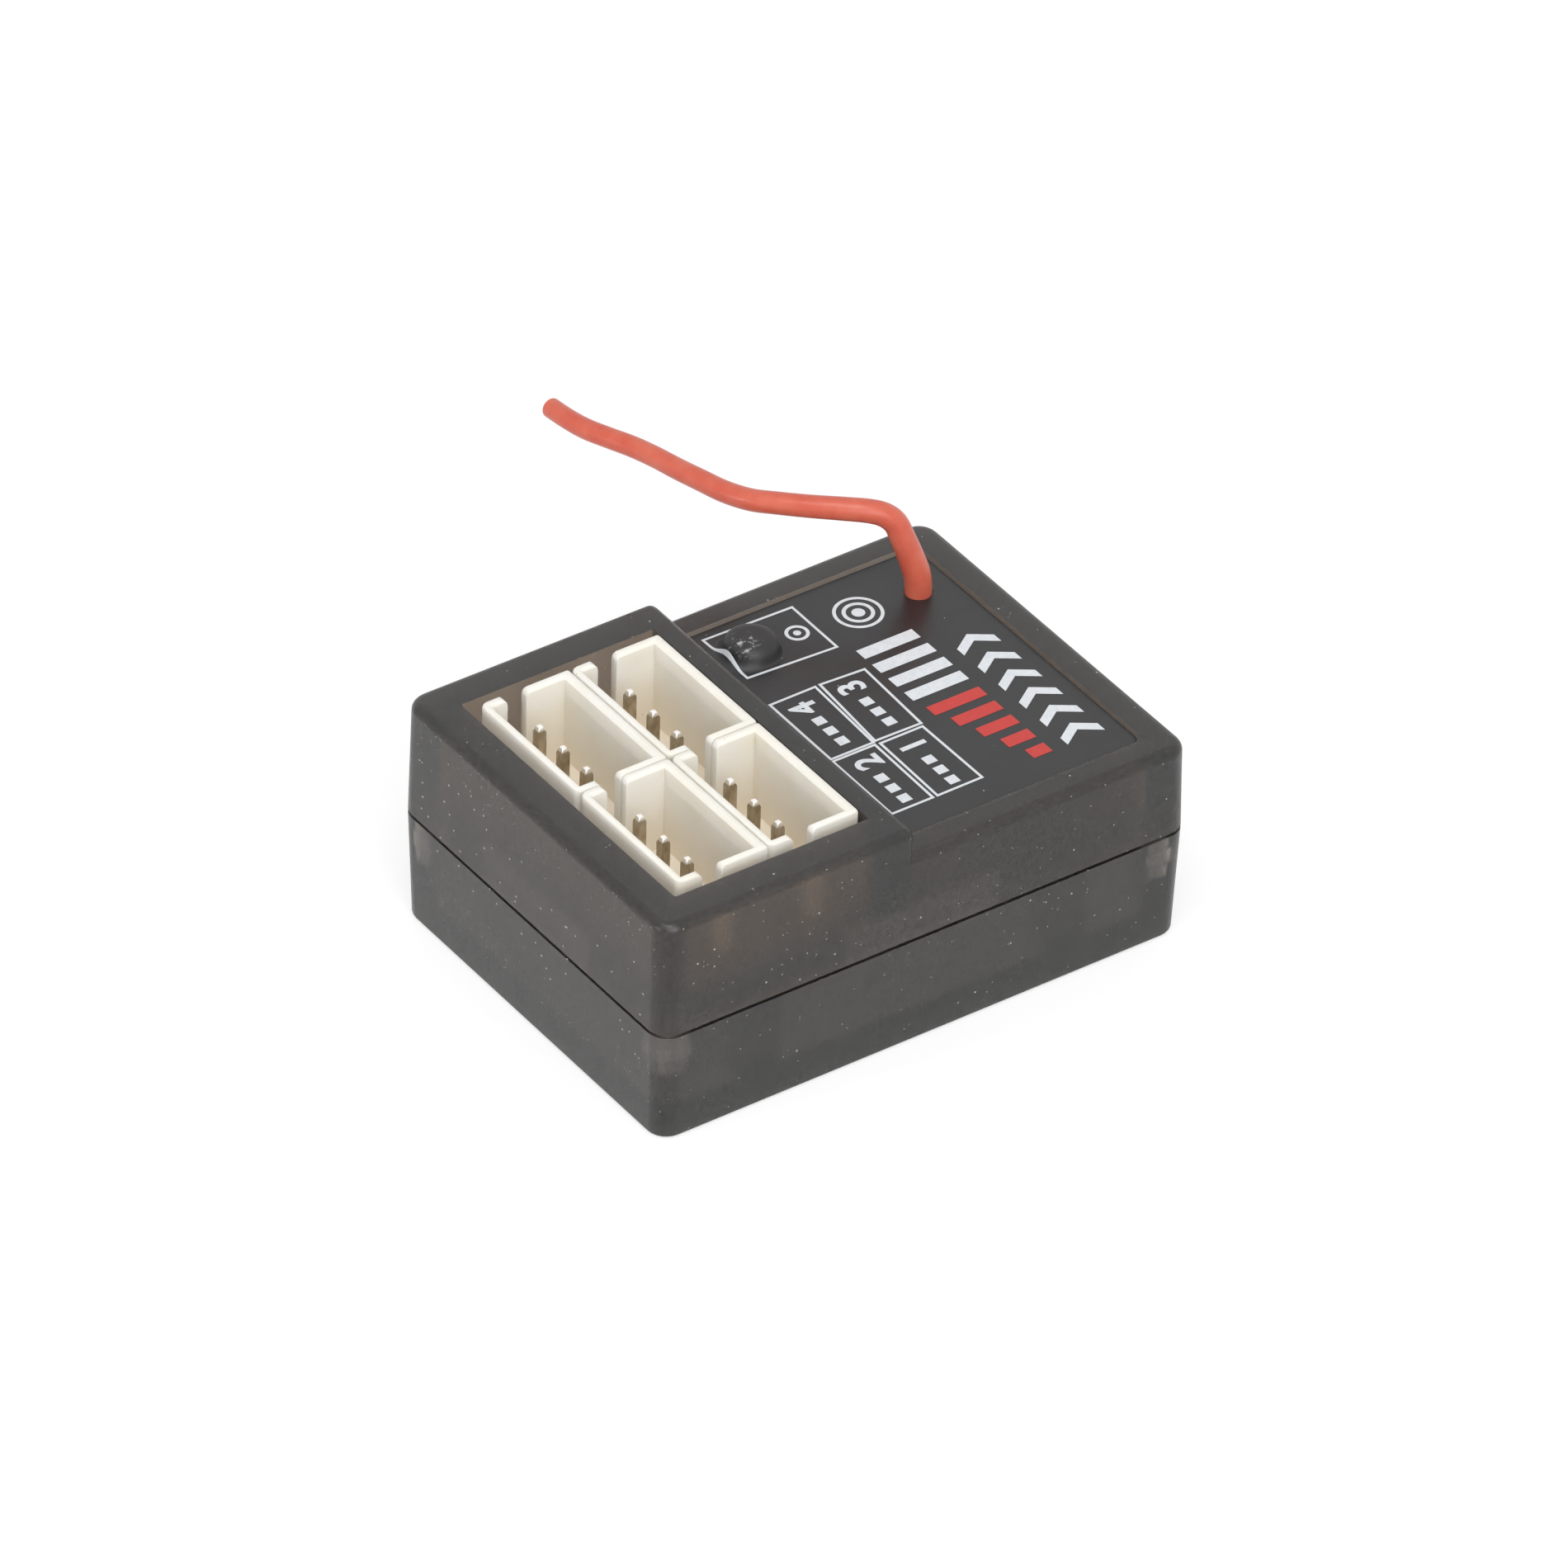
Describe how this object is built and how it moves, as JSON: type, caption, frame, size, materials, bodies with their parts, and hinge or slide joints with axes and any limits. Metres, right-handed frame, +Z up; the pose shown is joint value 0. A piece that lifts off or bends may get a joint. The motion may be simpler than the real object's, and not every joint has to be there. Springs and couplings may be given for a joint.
{
  "type": "rc receiver",
  "caption": "Small radio control receiver: a stepped translucent case with shrouded pin headers in a window, a bind button under the label film and a wire aerial.",
  "frame": {"origin": "centre of the case's flat underside", "axes": "+Z up out of the headers and the label, +X from the headers towards the aerial end, +Y across the case towards the aerial and the bind button"},
  "size_m": [0.031, 0.0362, 0.0166],
  "materials": {
    "smoke_plastic": "fine matte texture, smoke grey and slightly see-through",
    "label_film": "glossy dark printed film",
    "header_nylon": "satin ivory nylon",
    "tinned_pin": "dull tin plate",
    "board": "green solder mask",
    "aerial_insulation": "soft sheen red insulation",
    "tinned_copper": "tinned strands",
    "solder": "bright solder",
    "spring_steel": "bright",
    "black_plastic": "matte",
    "chip_epoxy": "matte moulded",
    "crystal_can": "drawn metal",
    "ceramic": "fired ceramic",
    "tantalum_case": "moulded yellow",
    "resistor": "satin",
    "red_light": "clear red lens"
  },
  "bodies": {
    "case": {"lower_shell": "smoke_plastic", "upper_shell": "smoke_plastic", "label_film": "label_film", "circuit_board": "board", "channel_1_header": "header_nylon", "channel_2_header": "header_nylon", "channel_3_header": "header_nylon", "channel_4_header": "header_nylon", "channel_1_signal_pin": "tinned_pin", "channel_1_positive_pin": "tinned_pin", "channel_1_negative_pin": "tinned_pin", "channel_2_signal_pin": "tinned_pin", "channel_2_positive_pin": "tinned_pin", "channel_2_negative_pin": "tinned_pin", "channel_3_signal_pin": "tinned_pin", "channel_3_positive_pin": "tinned_pin", "channel_3_negative_pin": "tinned_pin", "channel_4_signal_pin": "tinned_pin", "channel_4_positive_pin": "tinned_pin", "channel_4_negative_pin": "tinned_pin", "bind_switch_body": "black_plastic", "bind_switch_cover": "spring_steel", "bind_switch_dome": "spring_steel", "bind_switch_near_contact": "tinned_pin", "bind_switch_far_contact": "tinned_pin", "aerial_insulation": "aerial_insulation", "aerial_core": "tinned_copper", "aerial_solder": "solder", "radio_chip": "chip_epoxy", "microcontroller": "chip_epoxy", "voltage_regulator": "chip_epoxy", "crystal": "crystal_can", "input_capacitor": "tantalum_case", "output_capacitor": "ceramic", "matching_capacitor": "ceramic", "filter_capacitor": "ceramic", "light_resistor": "resistor", "pull_up_resistor": "resistor", "status_light": "red_light"},
    "button": {"bind_button": "black_plastic"}
  },
  "joints": [
    {"name": "bind_press", "type": "slide", "parent": "case", "child": "button", "axis": [0, 0, -1], "range_m": [0, 0.00025], "stiffness_N_per_m": 2000, "deforming": ["label_film", "bind_switch_dome"]}
  ]
}
